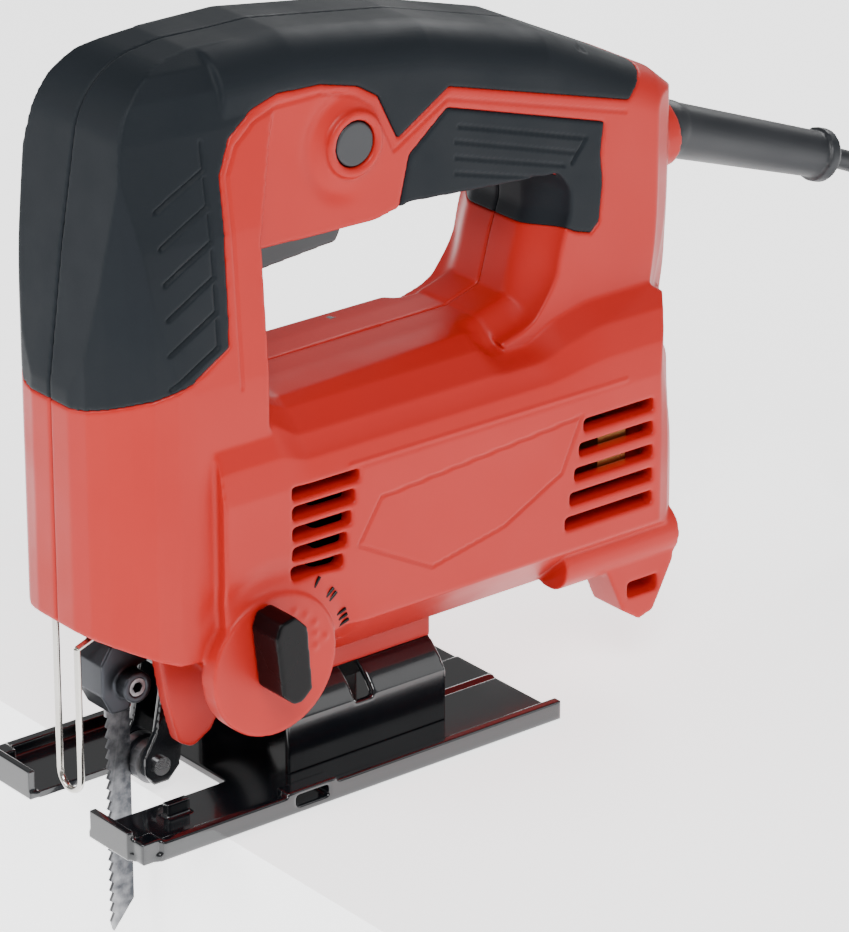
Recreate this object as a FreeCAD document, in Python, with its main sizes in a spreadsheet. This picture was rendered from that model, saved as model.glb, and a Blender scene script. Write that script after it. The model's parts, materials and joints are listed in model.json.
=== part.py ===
import FreeCAD, Part
import Sketcher
import math
import os

# Corded orbital jigsaw with a D-handle.  Millimetres.  X runs from the blade (minus)
# to the cord (plus), Y from the left side (minus) to the right side, Z is up.
# Z = 0 is the sole of the shoe; the motor, crank and blade lie in the plane Y = 0.

os.makedirs("parts", exist_ok=True)
doc = FreeCAD.newDocument("OrbitalJigsaw")
sheet = doc.addObject("Spreadsheet::Sheet", "Dims")
V = FreeCAD.Vector
EXPORTS = []


class Size:
    """A length that carries its value and the sheet expression it comes from."""

    def __init__(self, value, text):
        self.value = float(value)
        self.text = text

    def __add__(self, other):
        other = size(other)
        return Size(self.value + other.value, "(%s + %s)" % (self.text, other.text))

    def __radd__(self, other):
        return size(other) + self

    def __sub__(self, other):
        other = size(other)
        return Size(self.value - other.value, "(%s - %s)" % (self.text, other.text))

    def __rsub__(self, other):
        return size(other) - self

    def __mul__(self, other):
        other = size(other)
        return Size(self.value * other.value, "(%s * %s)" % (self.text, other.text))

    def __rmul__(self, other):
        return size(other) * self

    def __truediv__(self, other):
        other = size(other)
        return Size(self.value / other.value, "(%s / %s)" % (self.text, other.text))

    def __neg__(self):
        return Size(-self.value, "(0 - %s)" % self.text)


def size(number):
    if isinstance(number, Size):
        return number
    return Size(number, "(%.6f)" % number if number < 0 else "%.6f" % number)


class Row:
    count = 0


def dim(alias, value):
    """Write one driving dimension into the sheet and return it."""
    Row.count += 1
    sheet.set("A%d" % Row.count, alias)
    sheet.set("B%d" % Row.count, "%.4f" % value)
    sheet.setAlias("B%d" % Row.count, alias)
    return Size(value, "Dims.%s" % alias)


# ---- overall and housing -------------------------------------------------------------
handle_top = dim("handle_top", 208.4)           # highest line of the grip
front_x = dim("front_x", -79.0)                 # front face of the gear column
column_back = dim("column_back", -31.0)         # rear face of the gear column
column_half = dim("column_half", 30.0)          # half width of the column
column_low = dim("column_low", 49.0)            # underside of the column
grip_half = dim("grip_half", 22.5)              # half width of the handle
handle_under = dim("handle_under", 155.0)       # underside of the handle
body_half = dim("body_half", 34.0)              # half width of the motor body
body_low = dim("body_low", 33.0)                # underside of the motor body
body_top = dim("body_top", 117.0)               # floor of the D opening
body_back = dim("body_back", 128.0)             # rear face of the motor body
wall = dim("wall", 2.7)                         # moulded wall
grip_skin = dim("grip_skin", 1.6)               # soft overmould thickness
grip_low = dim("grip_low", 124.0)               # lower edge of the soft grip
post_front = dim("post_front", 60.0)            # front face of the rear post
seam_gap = dim("seam_gap", 0.05)                # joint between the two shells
run_gap = dim("run_gap", 0.05)                  # running fit, radial
part_gap = dim("part_gap", 0.4)                 # clearance between moving neighbours

# ---- motor ---------------------------------------------------------------------------
motor_z = dim("motor_z", 72.0)
motor_bay = dim("motor_bay_radius", 29.5)
core_x0 = dim("core_front", 22.0)
core_len = dim("core_length", 38.0)
field_r = dim("field_radius", 27.5)
air_gap = dim("air_gap", 0.6)
armature_r = dim("armature_radius", 15.0)
shaft_r = dim("shaft_radius", 3.0)
shaft_back = dim("shaft_back", 116.0)
bearing_r = dim("bearing_radius", 9.5)
bearing_w = dim("bearing_width", 6.0)
fan_r = dim("fan_radius", 25.0)
fan_x0 = dim("fan_front", -14.0)
fan_w = dim("fan_width", 11.0)
comm_r = dim("commutator_radius", 9.0)
comm_x0 = dim("commutator_front", 78.0)
comm_len = dim("commutator_length", 14.0)

# ---- gear, crank and slider ----------------------------------------------------------
gear_module = dim("gear_module", 1.0)
pinion_teeth = 7
gear_teeth = 42
gear_x0 = dim("gear_front", -41.0)
gear_w = dim("gear_width", 6.0)
stroke = dim("stroke", 18.0)
crank_pin_r = dim("crank_pin_radius", 2.8)
gear_pin_r = dim("gear_pin_radius", 4.0)
rod_x = dim("rod_position", -57.0)
rod_r = dim("rod_radius", 4.5)
rod_low = dim("rod_low", 42.0)
rod_high = dim("rod_high", 158.0)
bush_wall = dim("bush_wall", 2.5)
guide_pivot_x = dim("guide_pivot_x", -67.5)
guide_pivot_z = dim("guide_pivot_z", 150.0)
pivot_pin_r = dim("pivot_pin_radius", 2.5)

# ---- blade, clamp and roller ---------------------------------------------------------
blade_front = dim("blade_front", -64.5)
blade_w = dim("blade_width", 7.5)
blade_t = dim("blade_thickness", 1.0)
blade_low = dim("blade_low", -39.0)
clamp_low = dim("clamp_low", 28.0)
clamp_half = dim("clamp_half", 5.5)
roller_r = dim("roller_radius", 5.1)
roller_z = dim("roller_height", 9.4)
holder_x = dim("holder_pivot_x", -45.0)
holder_z = dim("holder_pivot_z", 41.0)
holder_half = dim("holder_half", 6.4)

# ---- shoe ----------------------------------------------------------------------------
shoe_front = dim("shoe_front", -80.0)
shoe_back = dim("shoe_back", 62.0)
shoe_half = dim("shoe_half", 37.3)
plate_t = dim("plate_thickness", 2.0)
rim_top = dim("rim_top", 5.5)
slot_half = dim("slot_half", 13.0)
slot_back = dim("slot_back", -35.0)
barrel_z = dim("barrel_axis", 5.3)
barrel_r = dim("barrel_radius", 23.7)
barrel_x0 = dim("barrel_front", -19.5)
barrel_len = dim("barrel_length", 54.0)
bolt_x = dim("bolt_position", 6.5)
bolt_r = dim("bolt_radius", 2.5)

# ---- controls and cord ---------------------------------------------------------------
knob_x = dim("knob_axis_x", -34.0)
knob_z = dim("knob_axis_z", 44.0)
dial_r = dim("dial_radius", 20.0)
button_x = dim("button_x", 2.0)
button_z = dim("button_z", 177.0)
button_r = dim("button_radius", 6.0)
trigger_x = dim("trigger_pivot_x", -24.0)
trigger_z = dim("trigger_pivot_z", 160.0)
trigger_half = dim("trigger_half", 8.0)
screw_r = dim("screw_radius", 1.9)
cord_r = dim("cord_radius", 3.0)


# ---- helpers -------------------------------------------------------------------------
def bind(obj, prop, amount):
    amount = size(amount)
    obj.setExpression(prop, amount.text)


def place(obj, x=0, y=0, z=0, axis=None, angle=0):
    """Set and bind the position of a primitive; the turn is about one world axis."""
    turn = FreeCAD.Rotation(V(*axis), angle) if axis else FreeCAD.Rotation()
    x, y, z = size(x), size(y), size(z)
    obj.Placement = FreeCAD.Placement(V(x.value, y.value, z.value), turn)
    for letter, amount in (("x", x), ("y", y), ("z", z)):
        bind(obj, "Placement.Base." + letter, amount)
    return obj


def box(name, x0, x1, y0, y1, z0, z1):
    obj = doc.addObject("Part::Box", name)
    bind(obj, "Length", size(x1) - x0)
    bind(obj, "Width", size(y1) - y0)
    bind(obj, "Height", size(z1) - z0)
    return place(obj, x0, y0, z0)


AXES = {"x": ((0, 1, 0), 90), "y": ((1, 0, 0), -90), "z": (None, 0)}


def cylinder(name, along, start, length, radius, u, v):
    """Cylinder along x, y or z; (u, v) is its axis in the other two directions."""
    obj = doc.addObject("Part::Cylinder", name)
    bind(obj, "Radius", radius)
    bind(obj, "Height", length)
    spot = {"x": (start, u, v), "y": (u, start, v), "z": (u, v, start)}[along]
    axis, angle = AXES[along]
    return place(obj, spot[0], spot[1], spot[2], axis, angle)


def cone(name, along, start, length, radius0, radius1, u, v):
    obj = doc.addObject("Part::Cone", name)
    bind(obj, "Radius1", radius0)
    bind(obj, "Radius2", radius1)
    bind(obj, "Height", length)
    spot = {"x": (start, u, v), "y": (u, start, v), "z": (u, v, start)}[along]
    axis, angle = AXES[along]
    return place(obj, spot[0], spot[1], spot[2], axis, angle)


def fuse(name, shapes):
    if len(shapes) == 1:
        return shapes[0]
    obj = doc.addObject("Part::MultiFuse", name)
    obj.Shapes = shapes
    return obj


def cut(name, base, tools):
    tool = fuse(name + "_tools", tools)
    obj = doc.addObject("Part::Cut", name)
    obj.Base = base
    obj.Tool = tool
    return obj


def common(name, base, tool):
    obj = doc.addObject("Part::Common", name)
    obj.Base = base
    obj.Tool = tool
    return obj


def group(name, shapes):
    """Several separate solids that make up one node."""
    obj = doc.addObject("Part::Compound", name)
    obj.Links = shapes
    return obj


def node(obj, label):
    obj.Label = label
    EXPORTS.append((label, obj))
    return obj


def origin_plane(body, role):
    for feature in body.Origin.OriginFeatures:
        if feature.Role == role:
            return feature


def sketch_on(body, name, role, offset=0):
    sk = body.newObject("Sketcher::SketchObject", name)
    sk.AttachmentSupport = [(origin_plane(body, role), "")]
    sk.MapMode = "FlatFace"
    offset = size(offset)
    sk.AttachmentOffset = FreeCAD.Placement(V(0, 0, offset.value), FreeCAD.Rotation())
    sk.setExpression("AttachmentOffset.Base.z", offset.text)
    return sk


def polygon(sk, points):
    """Closed outline whose every corner is tied to the sheet."""
    points = [(size(p[0]), size(p[1])) for p in points]
    total = len(points)
    start = sk.GeometryCount
    for i in range(total):
        a, b = points[i], points[(i + 1) % total]
        sk.addGeometry(Part.LineSegment(V(a[0].value, a[1].value, 0),
                                        V(b[0].value, b[1].value, 0)), False)
    for i in range(total):
        follow = start + (i + 1) % total
        sk.addConstraint(Sketcher.Constraint("Coincident", start + i, 2, follow, 1))
    for i, (px, py) in enumerate(points):
        line = start + i
        cx = sk.addConstraint(Sketcher.Constraint("DistanceX", -1, 1, line, 1, px.value))
        cy = sk.addConstraint(Sketcher.Constraint("DistanceY", -1, 1, line, 1, py.value))
        sk.setExpression("Constraints[%d]" % cx, px.text)
        sk.setExpression("Constraints[%d]" % cy, py.text)
    return sk


def corner_edges(shape, along, corners, tol=0.05):
    """Names of the straight edges that run along one axis through given corners."""
    names = []
    u, v = {"x": (1, 2), "y": (0, 2), "z": (0, 1)}[along]
    w = {"x": 0, "y": 1, "z": 2}[along]
    for number, edge in enumerate(shape.Edges, 1):
        if len(edge.Vertexes) != 2:
            continue
        a, b = edge.Vertexes[0].Point, edge.Vertexes[1].Point
        if abs(a[u] - b[u]) > tol or abs(a[v] - b[v]) > tol or abs(a[w] - b[w]) < tol:
            continue
        for cu, cv in corners:
            if abs(a[u] - cu) < tol and abs(a[v] - cv) < tol:
                names.append("Edge%d" % number)
    return names


def fillet(body, name, edges, radius):
    base = body.Tip
    feature = body.newObject("PartDesign::Fillet", name)
    feature.Base = (base, edges)
    bind(feature, "Radius", radius)
    doc.recompute()
    body.Tip = feature
    return feature


def slab(name, points, half, rounds=(), role="XZ_Plane"):
    """Symmetric pad of an outline, its corners rounded by (radius, corner numbers)."""
    body = doc.addObject("PartDesign::Body", name)
    sk = polygon(sketch_on(body, name + "_outline", role), points)
    pad = body.newObject("PartDesign::Pad", name + "_pad")
    pad.Profile = sk
    pad.Midplane = True
    bind(pad, "Length", size(half) * 2)
    doc.recompute()
    body.Tip = pad
    along = {"XZ_Plane": "y", "YZ_Plane": "x", "XY_Plane": "z"}[role]
    for number, (radius, corners) in enumerate(rounds):
        spots = [(size(points[i][0]).value, size(points[i][1]).value) for i in corners]
        edges = corner_edges(body.Tip.Shape, along, spots)
        fillet(body, "%s_round%d" % (name, number), edges, radius)
    return body


# ---- outer form of the housing -------------------------------------------------------
def pocket(body, name, role, loops, start, length, reverse=False):
    """Cut outlines out of a body, from a plane at `start` over `length`."""
    sk = sketch_on(body, name + "_outline", role, start)
    for loop in loops:
        polygon(sk, loop)
    feature = body.newObject("PartDesign::Pocket", name)
    feature.Profile = sk
    feature.Reversed = reverse
    bind(feature, "Length", length)
    doc.recompute()
    body.Tip = feature
    return feature


def mirrored(loop):
    return [(-size(y), z) for y, z in reversed(loop)]


def column_form(name, inset):
    """Gear column; the soft grip is the layer between two insets of this form."""
    inset = size(inset)
    top = handle_top - inset
    front = front_x + inset
    half = column_half - inset
    back = column_back - inset
    outline = [(front, column_low + 8), (front, grip_low), (front + 5, grip_low + 37),
               (front + 12.5, top - 3), (front + 37, top + 0.5), (front + 59, top),
               (back, handle_under + 5), (back, column_low), (front + 19, column_low)]
    body = slab(name, outline, half, [(22, [3])])
    slope = [(half, grip_low), (half + 8, grip_low), (half + 8, top + 20),
             (half - 20, top + 20), (half - 19, top + 0.6), (half - 13, top - 3),
             (half - 9.5, top - 8.5), (half - 7, top - 18), (half - 3, top - 45)]
    pocket(body, name + "_taper", "YZ_Plane", [slope, mirrored(slope)], front - 5, 120, True)
    corner = [(front - 5, half + 8), (front - 5, half - 22), (front, half - 22),
              (front + 1.5, half - 16), (front + 4.5, half - 11), (front + 8.5, half - 6),
              (front + 13, half - 2.2), (front + 19, half - 0.4), (front + 24, half),
              (front + 24, half + 8)]
    opposite = [(x, -size(y)) for x, y in reversed(corner)]
    pocket(body, name + "_corners", "XY_Plane", [corner, opposite], 0, 300, True)
    return body


def round_sides(body, name, radius, half, test):
    """Round the long edges of a slab where its rim meets its side faces."""
    names = []
    for number, edge in enumerate(body.Tip.Shape.Edges, 1):
        bb = edge.BoundBox
        if bb.YMax - bb.YMin > 0.05 or abs(abs(bb.YMin) - half.value) > 0.05:
            continue
        mid = edge.valueAt((edge.FirstParameter + edge.LastParameter) / 2)
        if test(mid.x, mid.z):
            names.append("Edge%d" % number)
    return fillet(body, name, names, radius)


def round_rear(body, name, curve):
    """Cut the rear corners of a slab to a curve seen from above, on both sides."""
    x_out = curve[0][0] + 15
    loop = ([(x_out, curve[0][1])] + [(x, size(y)) for x, y in curve]
            + [(curve[-1][0], 50), (x_out, 50)])
    opposite = [(x, -size(y)) for x, y in reversed(loop)]
    pocket(body, name, "XY_Plane", [loop, opposite], 0, 300, True)


def handle_form(name, inset):
    """Handle and rear post in one sweep from the column down to the motor body."""
    inset = size(inset)
    half = grip_half - inset
    top = handle_top - inset
    under = handle_under + inset
    outline = [(front_x + 40, top), (front_x + 64, top + 0.3), (front_x + 109, top - 6),
               (front_x + 150, top - 17), (front_x + 190, top - 36),
               (body_back - inset, top - 50), (body_back + 2 - inset, top - 62),
               (body_back - 1 - inset, top - 76), (body_back - 8 - inset, body_top - 10),
               (body_back - 10 - inset, body_top - 25), (post_front + 6, body_top - 25),
               (post_front - 8, body_top), (post_front + 2 + inset, body_top + 3),
               (post_front + 9 + inset, body_top + 24), (post_front + 9, under - 2),
               (front_x + 100, under + 1.5), (front_x + 88, under - 1),
               (front_x + 40, under)]
    body = slab(name, outline, half, [(8, [13]), (9, [5])])
    end_x = (front_x + 42).value
    low_z = (body_top - 20).value
    arch_z = handle_top.value - 48
    post_x = (body_back - 28).value
    outer = lambda x, z: x > end_x and z > low_z and (z > arch_z or x > post_x)
    round_sides(body, name + "_outer", 12, half, outer)
    rear = body_back - inset
    round_rear(body, name + "_rear", [(rear - 1, 2), (rear - 4, half - 16.5),
                                      (rear - 8, half - 11), (rear - 14, half - 4.5),
                                      (rear - 21, half - 0.3)])
    return body


def body_form(name):
    """Motor body with its lower side slopes and rounded shoulders."""
    outline = [(column_back - 18, body_top - 2), (column_back - 18, column_low - 4),
               (column_back - 8, body_low + 1), (column_back + 12, body_low),
               (body_back - 32, body_low), (body_back - 16, body_low + 3),
               (body_back - 4, body_low + 16), (body_back, motor_z - 10),
               (body_back - 2, motor_z + 8), (body_back - 8, body_top - 26),
               (body_back - 10, body_top - 8), (body_back - 30, body_top)]
    body = slab(name, outline, body_half)
    slope = [(body_half + 3, body_low - 4), (body_half + 3, body_low + 18),
             (body_half, body_low + 15), (body_half - 16, body_low - 0.02),
             (body_half - 18, body_low - 4)]
    shoulder = [(body_half + 3, body_top + 5), (body_half - 20, body_top + 5),
                (body_half - 19, body_top + 0.02), (body_half - 11, body_top - 3),
                (body_half - 5, body_top - 8), (body_half - 1.5, body_top - 16),
                (body_half, body_top - 25), (body_half + 3, body_top - 25)]
    pocket(body, name + "_slopes", "YZ_Plane",
           [slope, mirrored(slope), shoulder, mirrored(shoulder)], front_x - 5, 300, True)
    round_rear(body, name + "_rear", [(body_back, 2), (body_back - 3, body_half - 27),
                                      (body_back - 8, body_half - 20),
                                      (body_back - 16, body_half - 10),
                                      (body_back - 23, body_half - 3),
                                      (body_back - 29, body_half + 0.3)])
    return body


def ear_form(name):
    """Twin ears under the column that hold the blade roller fork."""
    outline = [(column_back - 29, column_low + 6), (column_back - 25, body_low),
               (column_back - 21.5, body_low - 13), (column_back - 17, body_low - 15.5),
               (column_back - 11, body_low - 12), (column_back - 3, body_low + 1),
               (column_back + 3, body_low + 3), (column_back + 3, column_low + 6)]
    return slab(name, outline, holder_half + 10.4, [(3, [2, 3])])


def key_holder_form(name):
    """Tubular holder for the hex key at the lower rear."""
    outer = cylinder(name + "_tube", "x", body_back - 60, 41, 8, -body_half + 10,
                     body_low + 8)
    lug = slab(name + "_lug", [
        (body_back - 46, body_low + 7), (body_back - 38, body_low - 11),
        (body_back - 32, body_low - 15), (body_back - 27, body_low - 13.5),
        (body_back - 20, body_low), (body_back - 19, body_low + 10),
        (body_back - 46, body_low + 10)], 6.5)
    place(lug, 0, -body_half + 10, 0)
    return fuse(name, [outer, lug])


column = column_form("column_outer", 0)
handle = handle_form("handle_outer", 0)
motor_body = body_form("body_outer")
ears = ear_form("ears_outer")
key_holder = key_holder_form("key_holder_outer")
saddle = box("saddle_block", barrel_x0, barrel_x0 + barrel_len, -14, 14, body_low - 9,
             body_low + 2)
ring = cylinder("button_ring", "y", -grip_half - 1.4, 6, button_r + 3, button_x, button_z)
dial_disc = cylinder("dial_disc", "y", -body_half - 1, 6, dial_r, knob_x, knob_z)
tilt_sweep = cylinder("tilt_sweep", "x", knob_x - dial_r - 1, dial_r * 2 + 2, shoe_half + 1.3,
                      0, barrel_z)
dial = cut("dial_form", dial_disc, [tilt_sweep])
guard_root = cylinder("guard_root", "x", body_back - 12, 10.5, 10, 0, handle_under - 8)
shell_outer = fuse("shell_outer", [column, handle, motor_body, ears, key_holder, saddle,
                                   ring, dial, guard_root])

# ---- soft overmould ------------------------------------------------------------------
column_core = column_form("column_core", grip_skin)
handle_core = handle_form("handle_core", grip_skin)
grip_core = fuse("grip_core", [column_core, handle_core])
main_zone = slab("grip_zone", [
    (front_x - 4, grip_low - 6), (front_x, grip_low - 4.5), (front_x + 10, grip_low - 0.5),
    (front_x + 24, grip_low + 3), (front_x + 36, grip_low + 10),
    (front_x + 37, handle_top - 30), (front_x + 41, handle_top - 21),
    (front_x + 49, handle_top - 15.5), (front_x + 57, handle_top - 13),
    (front_x + 71, handle_top - 13.5), (front_x + 83, handle_top - 16.5),
    (front_x + 89.5, handle_top - 20.5), (front_x + 96, handle_top - 33.5),
    (front_x + 113, handle_top - 23), (front_x + 175, handle_top - 40),
    (front_x + 183, handle_top - 34.5), (front_x + 187, handle_top - 28),
    (front_x + 187, handle_top + 20), (front_x - 4, handle_top + 20)], column_half + 6)
inlay_zone = slab("inlay_zone", [
    (front_x + 99.8, handle_top - 38.8), (front_x + 112.4, handle_top - 28.6),
    (front_x + 166.5, handle_top - 44.3), (front_x + 162.5, handle_top - 72.4),
    (front_x + 158, handle_top - 75), (front_x + 150.8, handle_top - 73.5),
    (front_x + 137, handle_top - 67.5), (front_x + 129, handle_top - 58.5),
    (front_x + 95, handle_top - 58.5)], column_half + 6)
left_half = box("left_half", -120, 200, -60, -seam_gap / 2, -20, 260)
right_half = box("right_half", -120, 200, seam_gap / 2, 60, -20, 260)
outer_grip_form = fuse("outer_grip_form", [column, handle])
grip_layer = cut("grip_layer", outer_grip_form, [grip_core])
main_skin = common("main_skin", grip_layer, main_zone)
inlay_skin = common("inlay_skin", grip_layer, inlay_zone)

# ---- openings and bays ---------------------------------------------------------------
bay_back = column_back - wall
gear_bay = box("gear_bay", front_x + 17, bay_back, -column_half + wall + 0.6,
               column_half - wall - 0.6, column_low + 9, body_top - 4.5)
nose_bay = box("nose_bay", front_x + 5, front_x + 20, -12, 12, column_low + 9,
               grip_low + 10)
yoke_bay = box("yoke_bay", front_x + 10, front_x + 20, -19, 19, column_low + 9,
               grip_low + 10)
frame_half = grip_half + 1
frame_bay = box("frame_bay", bay_back - 1, fan_x0 - 2, -frame_half - 0.5,
                frame_half + 0.5, column_low + 9, body_top - 11)
tall_bay = box("tall_bay", front_x + 15, bay_back, -column_half + wall + 3,
               column_half - wall - 3, body_top - 8, grip_low + 12)
top_bay = box("top_bay", front_x + 6.5, bay_back, -14, 14, grip_low + 10,
              guide_pivot_z + 16)
throat = box("throat", front_x + 6, column_back - 9, -12.5, 12.5, body_low - 20,
             column_low + 12)
fork_bay = box("fork_bay", column_back - 28, column_back + 5, -holder_half - 1.2,
               holder_half + 1.2, body_low - 20, column_low + 12)
motor_space = cylinder("motor_space", "x", fan_x0 - 3, body_back - 31 - fan_x0 + 3,
                       motor_bay, 0, motor_z)
rear_space = cylinder("rear_space", "x", fan_x0, body_back - 15 - fan_x0, bearing_r + 3.5,
                      0, motor_z)
switch_bay = box("switch_bay", column_back + 1, post_front + 26, -grip_half + 5.5,
                 grip_half - 5.5, handle_under + 7.5, handle_top - 24)
post_bay = box("post_bay", post_front + 14, body_back - 22, -9, 9, body_top - 20,
               handle_under + 12)
trigger_gap = box("trigger_gap", column_back + 0.5, button_x + 9, -trigger_half - part_gap,
                  trigger_half + part_gap, handle_under - 5, handle_under + 8)
button_gap = cylinder("button_gap", "y", -grip_half - 2, 12, button_r + part_gap,
                      button_x, button_z)
cord_way = cylinder("cord_way", "x", body_back - 26, 30, cord_r + 0.5, 0, handle_under - 8)
guard_pocket = cylinder("guard_pocket", "x", body_back - 10, 12, 8.2, 0, handle_under - 8)
knob_way = cylinder("knob_way", "y", -body_half - 2, body_half + 2, 3.5 + run_gap * 2,
                    knob_x, knob_z)
barrel_way = cylinder("barrel_way", "x", barrel_x0 - 1, barrel_len + 2,
                      barrel_r + part_gap, 0, barrel_z)
bolt_way = cylinder("bolt_way", "z", body_low - 12, 24, bolt_r, bolt_x, 0)
wire_way = cylinder("wire_way", "z", column_low - 4, 16, 1.0, front_x + 3, 4.8)
wire_way2 = cylinder("wire_way2", "z", column_low - 8, 16, 1.0, front_x + 10, -4.8)
key_bore = cylinder("key_bore", "x", body_back - 50, 50, 4.5, -body_half + 10,
                    body_low + 8)
lug_window = box("lug_window", body_back - 36.5, body_back - 25.5, -body_half - 1,
                 -body_half + 18, body_low - 7.5, body_low - 2.8)
pin_hole_guide = cylinder("pin_hole_guide", "y", -23, 46, pivot_pin_r, guide_pivot_x,
                          guide_pivot_z)
pin_hole_holder = cylinder("pin_hole_holder", "y", -13, 26, pivot_pin_r, holder_x, holder_z)
pin_hole_trigger = cylinder("pin_hole_trigger", "y", -12, 24, 1.8, trigger_x, trigger_z)
rear_seat = cylinder("rear_seat", "x", shaft_back - 10, 11, bearing_r + 1.5, 0, motor_z)

front_vents = []
for i in range(5):
    z1 = motor_z + 20.4 - i * size(5.8)
    front_vents.append(box("front_vent%d" % i, front_x + 52, front_x + 74 - 1.4 * i, -60,
                           60, z1 - 4, z1))
rear_vents = []
for i in range(5):
    z1 = motor_z + 13.6 - i * size(6.9)
    rear_vents.append(box("rear_vent%d" % i, body_back - 56 - 1.6 * i, body_back - 31,
                          -60, 60, z1 - 3.8, z1))

strap_pocket = box("strap_pocket", body_back - 17.5, body_back - 11, -8.5, 8.5,
                   handle_under - 13.5, handle_under - 2.5)
bays = fuse("bays", [gear_bay, nose_bay, yoke_bay, frame_bay, tall_bay, top_bay, throat,
                     fork_bay, motor_space, rear_space, switch_bay, post_bay, strap_pocket,
                     trigger_gap, button_gap, cord_way, guard_pocket, knob_way, barrel_way,
                     bolt_way, wire_way, wire_way2, key_bore, lug_window,
                     pin_hole_guide, pin_hole_holder, pin_hole_trigger, rear_seat]
            + front_vents + rear_vents)

# ---- shell screws: heads in counterbores on the right side ---------------------------
screw_spots = [(front_x + 31, handle_top - 9), (front_x + 168, handle_top - 36),
               (post_front - 38, body_top - 7.5), (post_front + 5, body_top - 7.5),
               (post_front - 18, body_low + 4.8), (body_back - 24, body_low + 6.5),
               (fan_x0 + 3, body_low + 4.8)]
screws, screw_cuts = [], []
for i, (sx, sz) in enumerate(screw_spots):
    shank = cylinder("screw_shank%d" % i, "y", -12, 24.5, screw_r, sx, sz)
    head = cone("screw_head%d" % i, "y", 12, 2.6, screw_r + 2, screw_r + 1.6, sx, sz)
    drive = cylinder("screw_drive%d" % i, "y", 13.4, 2, screw_r * 0.6, sx, sz)
    screws.append(cut("screw%d" % i, fuse("screw_body%d" % i, [shank, head]), [drive]))
    screw_cuts.append(cylinder("screw_hole%d" % i, "y", -12, 24.5, screw_r, sx, sz))
    screw_cuts.append(cylinder("screw_bore%d" % i, "y", 12, 60, screw_r + 2.3, sx, sz))

shell_body = cut("shell_body", shell_outer, [bays, main_skin, inlay_skin] + screw_cuts)
node(common("housing_left_half", shell_body, left_half), "housing_left")
node(common("housing_right_half", shell_body, right_half), "housing_right")
skin_cuts = [bays] + screw_cuts
main_trim = cut("main_trim", main_skin, skin_cuts)
inlay_trim = cut("inlay_trim", inlay_skin, skin_cuts)
node(common("grip_left_half", main_trim, left_half), "grip_left")
node(common("grip_right_half", main_trim, right_half), "grip_right")
node(common("inlay_left_half", inlay_trim, left_half), "inlay_left")
node(common("inlay_right_half", inlay_trim, right_half), "inlay_right")
node(group("shell_screws", screws), "housing_screws")

# ---- motor ---------------------------------------------------------------------------
gear_z = motor_z + gear_module * size((pinion_teeth + gear_teeth) / 2.0)
core_x1 = core_x0 + core_len
rotor_r = armature_r - air_gap


def toothed(name, x0, width, teeth, z0, tooth_half, tip, root, turn=0.0):
    """Straight spur wheel: a padded disc and one tooth repeated by a polar pattern."""
    body = doc.addObject("PartDesign::Body", name)
    rim = gear_module * size(teeth / 2.0) - root
    disc_sketch = sketch_on(body, name + "_disc_outline", "YZ_Plane")
    circle = disc_sketch.addGeometry(Part.Circle(V(0, 0, 0), V(0, 0, 1), rim.value), False)
    disc_sketch.addConstraint(Sketcher.Constraint("Coincident", circle, 3, -1, 1))
    ring = disc_sketch.addConstraint(Sketcher.Constraint("Radius", circle, rim.value))
    disc_sketch.setExpression("Constraints[%d]" % ring, rim.text)
    disc = body.newObject("PartDesign::Pad", name + "_disc")
    disc.Profile = disc_sketch
    bind(disc, "Length", width)
    outline = [(-tooth_half * 1.5, rim - 0.35), (tooth_half * 1.5, rim - 0.35),
               (tooth_half, rim + root), (tooth_half * 0.45, rim + root + tip),
               (-tooth_half * 0.45, rim + root + tip), (-tooth_half, rim + root)]
    tooth_sketch = sketch_on(body, name + "_tooth_outline", "YZ_Plane")
    polygon(tooth_sketch, outline)
    tooth = body.newObject("PartDesign::Pad", name + "_tooth")
    tooth.Profile = tooth_sketch
    bind(tooth, "Length", width)
    doc.recompute()
    pattern = body.newObject("PartDesign::PolarPattern", name + "_teeth")
    pattern.Originals = [tooth]
    pattern.Axis = (origin_plane(body, "X_Axis"), [""])
    pattern.Angle = 360
    pattern.Occurrences = teeth
    body.Tip = pattern
    return place(body, x0, 0, z0, (1, 0, 0), turn)


pinion = toothed("pinion", gear_x0 + 0.3, gear_w, pinion_teeth, motor_z,
                 gear_module * 0.57, gear_module * 0.72, gear_module * 1.1,
                180.0 / gear_teeth)
shaft_core = cylinder("shaft_core", "x", gear_x0 + gear_w, shaft_back - gear_x0 - gear_w,
                      shaft_r, 0, motor_z)
node(fuse("armature_shaft_solid", [pinion, shaft_core]), "armature_shaft")

core_disc = cylinder("core_disc", "x", core_x0, core_len, rotor_r, 0, motor_z)
core_bore = cylinder("core_bore", "x", core_x0 - 1, core_len + 2, shaft_r, 0, motor_z)
slots = [core_bore]
for i in range(12):
    turn = 30.0 * i
    slot = doc.addObject("Part::Cylinder", "core_slot%d" % i)
    bind(slot, "Radius", 1.5)
    bind(slot, "Height", core_len + 2)
    ring_r = rotor_r - 2.2
    cosine, sine = math.cos(math.radians(turn)), math.sin(math.radians(turn))
    place(slot, core_x0 - 1, ring_r * cosine, motor_z + ring_r * sine, (0, 1, 0), 90)
    slots.append(slot)
node(cut("armature_core_solid", core_disc, slots), "armature_core")

winding_r = rotor_r - 1.5
windings = []
for i, (x0, length) in enumerate(((core_x0 - 8, size(8)), (core_x1, size(9)))):
    ring = cylinder("winding_ring%d" % i, "x", x0, length, winding_r, 0, motor_z)
    hole = cylinder("winding_hole%d" % i, "x", x0 - 1, length + 2, shaft_r, 0, motor_z)
    windings.append(cut("winding%d" % i, ring, [hole]))
node(group("windings", windings), "armature_windings")

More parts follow.
